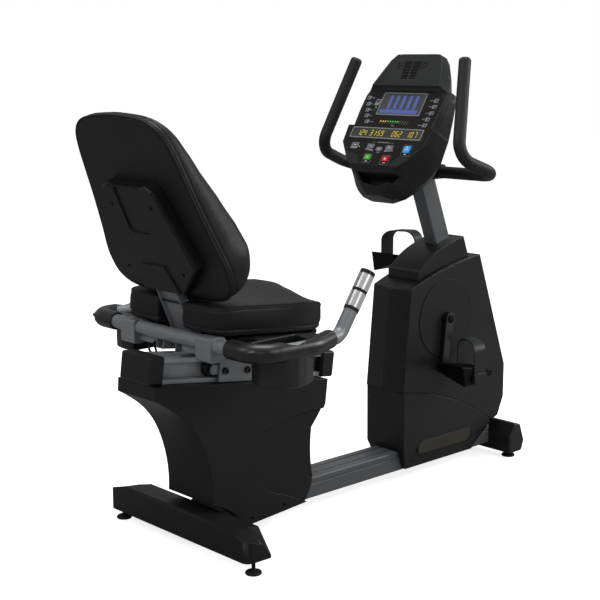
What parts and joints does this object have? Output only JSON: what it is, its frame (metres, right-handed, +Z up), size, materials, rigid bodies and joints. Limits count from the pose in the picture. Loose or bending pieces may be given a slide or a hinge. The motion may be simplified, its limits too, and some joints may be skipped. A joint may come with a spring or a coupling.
{
  "type": "recumbent exercise bike",
  "caption": "Recumbent exercise bike with a sliding padded seat and backrest, front drive housing with pedals, console on a leaning mast and a curved handlebar.",
  "frame": {"origin": "on the floor, on the bike's middle plane, halfway along its length", "axes": "+X forward from the seat towards the console, +Y to the rider's left, +Z up"},
  "size_m": [1.5132, 0.742, 1.2986],
  "materials": {
    "grey_paint": "satin powder coat",
    "rail_grey": "dark anodised",
    "black_paint": "satin powder coat",
    "moulded_black": "finely textured",
    "disc_black": "smooth",
    "pan_black": "smooth",
    "black_vinyl": "soft vinyl",
    "grip_rubber": "matt",
    "pulse_sleeve": "smooth",
    "pulse_metal": "polished",
    "dark_steel": "dark",
    "bright_steel": "machined",
    "screw_black": "black oxide",
    "cast": "turned",
    "pulley_grey": "cast",
    "belt_rubber": "ribbed",
    "magnet_grey": "plated",
    "pedal_black": "ribbed",
    "strap_black": "satin",
    "roller_nylon": "smooth",
    "face_print": "printed film",
    "window_clear": "clear with grey frame",
    "fan_black": "smooth",
    "key_green": "smooth",
    "key_red": "smooth",
    "key_blue": "smooth",
    "key_silver": "smooth",
    "lever_black": "smooth",
    "cable_black": "smooth",
    "leveller_rubber": "matt"
  },
  "bodies": {
    "base": {"main_beam": "grey_paint", "rear_foot": "moulded_black", "front_foot": "moulded_black", "seat_post": "grey_paint", "seat_rail": "rail_grey", "rail_caps": "moulded_black", "rear_shroud_left": "moulded_black", "rear_shroud_right": "moulded_black", "front_frame": "black_paint", "front_shell_left": "moulded_black", "front_shell_right": "moulded_black", "front_lower_cover": "moulded_black", "front_top_cover": "moulded_black", "crank_discs": "disc_black", "crank_bearings": "bright_steel", "drive_belt": "belt_rubber", "brake_magnet": "magnet_grey", "mast": "grey_paint", "handlebar": "black_paint", "handlebar_grips": "grip_rubber", "handlebar_clamp": "moulded_black", "console_back": "moulded_black", "console_front": "moulded_black", "console_face": "face_print", "display_windows": "window_clear", "cover_screws": "screw_black"},
    "seat": {"carriage": "black_paint", "seat_frame": "grey_paint", "seat_pan": "pan_black", "seat_pad": "black_vinyl", "back_plate": "moulded_black", "back_pad": "black_vinyl", "armrest_left": "moulded_black", "armrest_right": "moulded_black", "pulse_grips": "pulse_sleeve", "pulse_plates": "pulse_metal", "sensor_cables": "cable_black", "seat_screws": "screw_black"},
    "crank": {"crank_axle": "bright_steel", "crank_arms": "dark_steel", "drive_pulley": "pulley_grey"},
    "flywheel": {"flywheel": "cast"},
    "pedal_right": {"pedal_right": "pedal_black", "pedal_strap_right": "strap_black"},
    "pedal_left": {"pedal_left": "pedal_black", "pedal_strap_left": "strap_black"},
    "roller_rear": {"roller_rear": "roller_nylon"},
    "roller_front": {"roller_front": "roller_nylon"},
    "seat_lever": {"seat_lever": "lever_black"},
    "fan_rotor": {"fan_rotor": "fan_black"},
    "leveller_rear_right": {"leveller_rear_right": "leveller_rubber"},
    "leveller_rear_left": {"leveller_rear_left": "leveller_rubber"},
    "leveller_front_right": {"leveller_front_right": "leveller_rubber"},
    "leveller_front_left": {"leveller_front_left": "leveller_rubber"},
    "start_key": {"start_key": "key_green"},
    "stop_key": {"stop_key": "key_red"},
    "fan_key": {"fan_key": "key_blue"},
    "enter_key": {"enter_key": "key_silver"},
    "level_down_key": {"level_down_key": "key_silver"},
    "level_up_key": {"level_up_key": "key_silver"}
  },
  "joints": [
    {"name": "seat_slide", "type": "slide", "parent": "base", "child": "seat", "axis": [0.9919, 0, -0.1271], "range_m": [-0.15, 0.14]},
    {"name": "roller_rear_spin", "type": "hinge", "parent": "seat", "child": "roller_rear", "pos_m": [-0.48332, 0, 0.48167], "axis": [0, 1, 0], "range_deg": [-400, 400]},
    {"name": "roller_front_spin", "type": "hinge", "parent": "seat", "child": "roller_front", "pos_m": [-0.26114, 0, 0.45321], "axis": [0, 1, 0], "range_deg": [-400, 400]},
    {"name": "crank_spin", "type": "hinge", "parent": "base", "child": "crank", "pos_m": [0.419, 0, 0.5], "axis": [0, 1, 0], "continuous": true},
    {"name": "flywheel_spin", "type": "hinge", "parent": "base", "child": "flywheel", "pos_m": [0.575, 0, 0.3], "axis": [0, 1, 0], "continuous": true},
    {"name": "pedal_right_spin", "type": "hinge", "parent": "crank", "child": "pedal_right", "pos_m": [0.39785, -0.16, 0.34948], "axis": [0, 1, 0], "continuous": true},
    {"name": "pedal_left_spin", "type": "hinge", "parent": "crank", "child": "pedal_left", "pos_m": [0.44015, 0.16, 0.65052], "axis": [0, 1, 0], "continuous": true},
    {"name": "fan_spin", "type": "hinge", "parent": "base", "child": "fan_rotor", "pos_m": [0.36973, 0.008, 1.22679], "axis": [-0.8387, 0, 0.5446], "continuous": true},
    {"name": "start_key_press", "type": "slide", "parent": "base", "child": "start_key", "axis": [0.8387, 0, -0.5446], "range_m": [0, 0.0015], "stiffness_N_per_m": 400, "springref_m": -0.001},
    {"name": "stop_key_press", "type": "slide", "parent": "base", "child": "stop_key", "axis": [0.8387, 0, -0.5446], "range_m": [0, 0.0015], "stiffness_N_per_m": 400, "springref_m": -0.001},
    {"name": "fan_key_press", "type": "slide", "parent": "base", "child": "fan_key", "axis": [0.8387, 0, -0.5446], "range_m": [0, 0.0015], "stiffness_N_per_m": 400, "springref_m": -0.001},
    {"name": "enter_key_press", "type": "slide", "parent": "base", "child": "enter_key", "axis": [0.8387, 0, -0.5446], "range_m": [0, 0.0015], "stiffness_N_per_m": 400, "springref_m": -0.001},
    {"name": "level_down_key_press", "type": "slide", "parent": "base", "child": "level_down_key", "axis": [0.8387, 0, -0.5446], "range_m": [0, 0.0015], "stiffness_N_per_m": 400, "springref_m": -0.001},
    {"name": "level_up_key_press", "type": "slide", "parent": "base", "child": "level_up_key", "axis": [0.8387, 0, -0.5446], "range_m": [0, 0.0015], "stiffness_N_per_m": 400, "springref_m": -0.001},
    {"name": "seat_lever_turn", "type": "hinge", "parent": "seat", "child": "seat_lever", "pos_m": [-0.30274, 0.08, 0.47467], "axis": [0, -1, 0], "range_deg": [0, 16], "stiffness_Nm_per_rad": 4, "springref_deg": -22.92},
    {"name": "leveller_rear_right_screw", "type": "slide", "parent": "base", "child": "leveller_rear_right", "axis": [0, 0, 1], "range_m": [-0.012, 0]},
    {"name": "leveller_rear_left_screw", "type": "slide", "parent": "base", "child": "leveller_rear_left", "axis": [0, 0, 1], "range_m": [-0.012, 0]},
    {"name": "leveller_front_right_screw", "type": "slide", "parent": "base", "child": "leveller_front_right", "axis": [0, 0, 1], "range_m": [-0.012, 0]},
    {"name": "leveller_front_left_screw", "type": "slide", "parent": "base", "child": "leveller_front_left", "axis": [0, 0, 1], "range_m": [-0.012, 0]}
  ],
  "couplings": [
    {"joint": "roller_rear_spin", "follows": "seat_slide", "rad_per_m": 45.455},
    {"joint": "roller_front_spin", "follows": "seat_slide", "rad_per_m": 45.455},
    {"joint": "flywheel_spin", "follows": "crank_spin", "ratio": 4.375}
  ]
}
